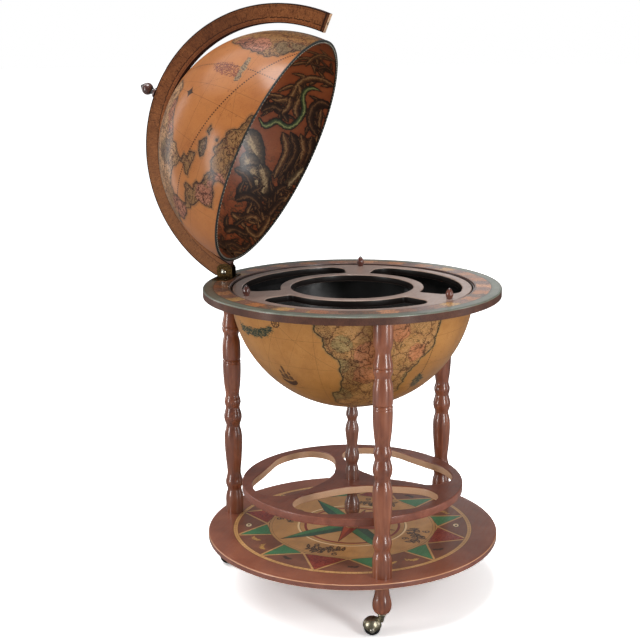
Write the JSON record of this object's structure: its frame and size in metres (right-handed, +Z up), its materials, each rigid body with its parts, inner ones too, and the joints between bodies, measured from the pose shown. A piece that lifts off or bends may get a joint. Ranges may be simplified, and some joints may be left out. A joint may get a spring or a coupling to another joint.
{
  "type": "globe bar cabinet",
  "caption": "Floor-standing globe bar: hinged upper hemisphere over a fixed bowl in a ring, turned legs, bottle rack, round shelf and hooded casters.",
  "frame": {"origin": "the centre column's axis on the floor", "axes": "+Z up, +Y towards the lid hinge and the rear leg, +X to the right seen from the front"},
  "size_m": [0.6139, 0.7728, 1.2129],
  "materials": {
    "turned_wood": "polished red-brown lacquer",
    "shelf_print": "printed paper on wood, satin varnish",
    "rack_wood": "satin varnish",
    "ring_print": "printed paper on wood, satin varnish",
    "map_bowl": "printed map, satin varnish",
    "map_lid": "printed map, satin varnish",
    "black_lining": "matt black",
    "fresco_lining": "printed lining, satin varnish",
    "rim_trim": "satin",
    "arc_print": "printed paper on wood, satin varnish",
    "board": "satin lacquer",
    "knob_wood": "polished",
    "finial_wood": "polished",
    "antique_brass": "antiqued",
    "antique_bronze": "antiqued",
    "rivet_brass": "polished",
    "steel": "zinc plated",
    "black_rubber": "matt black",
    "bowl_floor_black": "matt"
  },
  "bodies": {
    "stand": {"base_shelf": "shelf_print", "bottle_rack": "rack_wood", "lower_column": "turned_wood", "upper_column": "turned_wood", "tie_rod": "steel", "tie_rod_nuts": "steel", "horizon_ring": "ring_print", "globe_bowl": "map_bowl", "bowl_lining": "black_lining", "bowl_floor": "bowl_floor_black", "board_ledge": "black_lining", "leg_rear": "turned_wood", "leg_right": "turned_wood", "leg_left": "turned_wood", "leg_studs": "steel", "foot_rear": "turned_wood", "foot_right": "turned_wood", "foot_left": "turned_wood", "caster_sockets": "steel", "hinge_bracket": "antique_bronze", "hinge_pin": "rivet_brass", "hinge_screws": "antique_bronze"},
    "lid": {"hinge_bush": "rivet_brass", "hinge_tongue": "turned_wood", "tongue_screws": "antique_bronze", "meridian_arc": "arc_print", "upper_hemisphere": "map_lid", "lid_lining": "fresco_lining", "lid_rim_trim": "rim_trim", "pole_finial": "finial_wood", "pole_spacer": "turned_wood", "pole_bolt": "antique_bronze"},
    "insert": {"insert_board": "board", "insert_knob_right": "knob_wood", "insert_knob_left": "knob_wood", "insert_knob_front": "knob_wood", "knob_screws": "steel"},
    "caster_rear": {"caster_stem_rear": "steel", "caster_hood_rear": "antique_brass", "caster_axle_rear": "rivet_brass"},
    "wheel_rear": {"caster_wheel_rear": "black_rubber"},
    "caster_right": {"caster_stem_right": "steel", "caster_hood_right": "antique_brass", "caster_axle_right": "rivet_brass"},
    "wheel_right": {"caster_wheel_right": "black_rubber"},
    "caster_left": {"caster_stem_left": "steel", "caster_hood_left": "antique_brass", "caster_axle_left": "rivet_brass"},
    "wheel_left": {"caster_wheel_left": "black_rubber"}
  },
  "joints": [
    {"name": "lid_hinge", "type": "hinge", "parent": "stand", "child": "lid", "pos_m": [0, 0.2819, 0.6609], "axis": [-1, 0, 0], "range_deg": [-66.5, 0]},
    {"name": "insert_lift", "type": "slide", "parent": "stand", "child": "insert", "axis": [0, 0, 1], "range_m": [0, 0.12]},
    {"name": "swivel_rear", "type": "hinge", "parent": "stand", "child": "caster_rear", "pos_m": [0, 0.272, 0.05], "axis": [0, 0, 1], "continuous": true},
    {"name": "roll_rear", "type": "hinge", "parent": "caster_rear", "child": "wheel_rear", "pos_m": [-0.00565, 0.29014, 0.0166], "axis": [-0.9548, -0.2974, 0], "continuous": true},
    {"name": "swivel_right", "type": "hinge", "parent": "stand", "child": "caster_right", "pos_m": [0.23556, -0.136, 0.05], "axis": [0, 0, 1], "continuous": true},
    {"name": "roll_right", "type": "hinge", "parent": "caster_right", "child": "wheel_right", "pos_m": [0.22991, -0.11786, 0.0166], "axis": [-0.9548, -0.2974, 0], "continuous": true},
    {"name": "swivel_left", "type": "hinge", "parent": "stand", "child": "caster_left", "pos_m": [-0.23556, -0.136, 0.05], "axis": [0, 0, 1], "continuous": true},
    {"name": "roll_left", "type": "hinge", "parent": "caster_left", "child": "wheel_left", "pos_m": [-0.24121, -0.11786, 0.0166], "axis": [-0.9548, -0.2974, 0], "continuous": true}
  ]
}
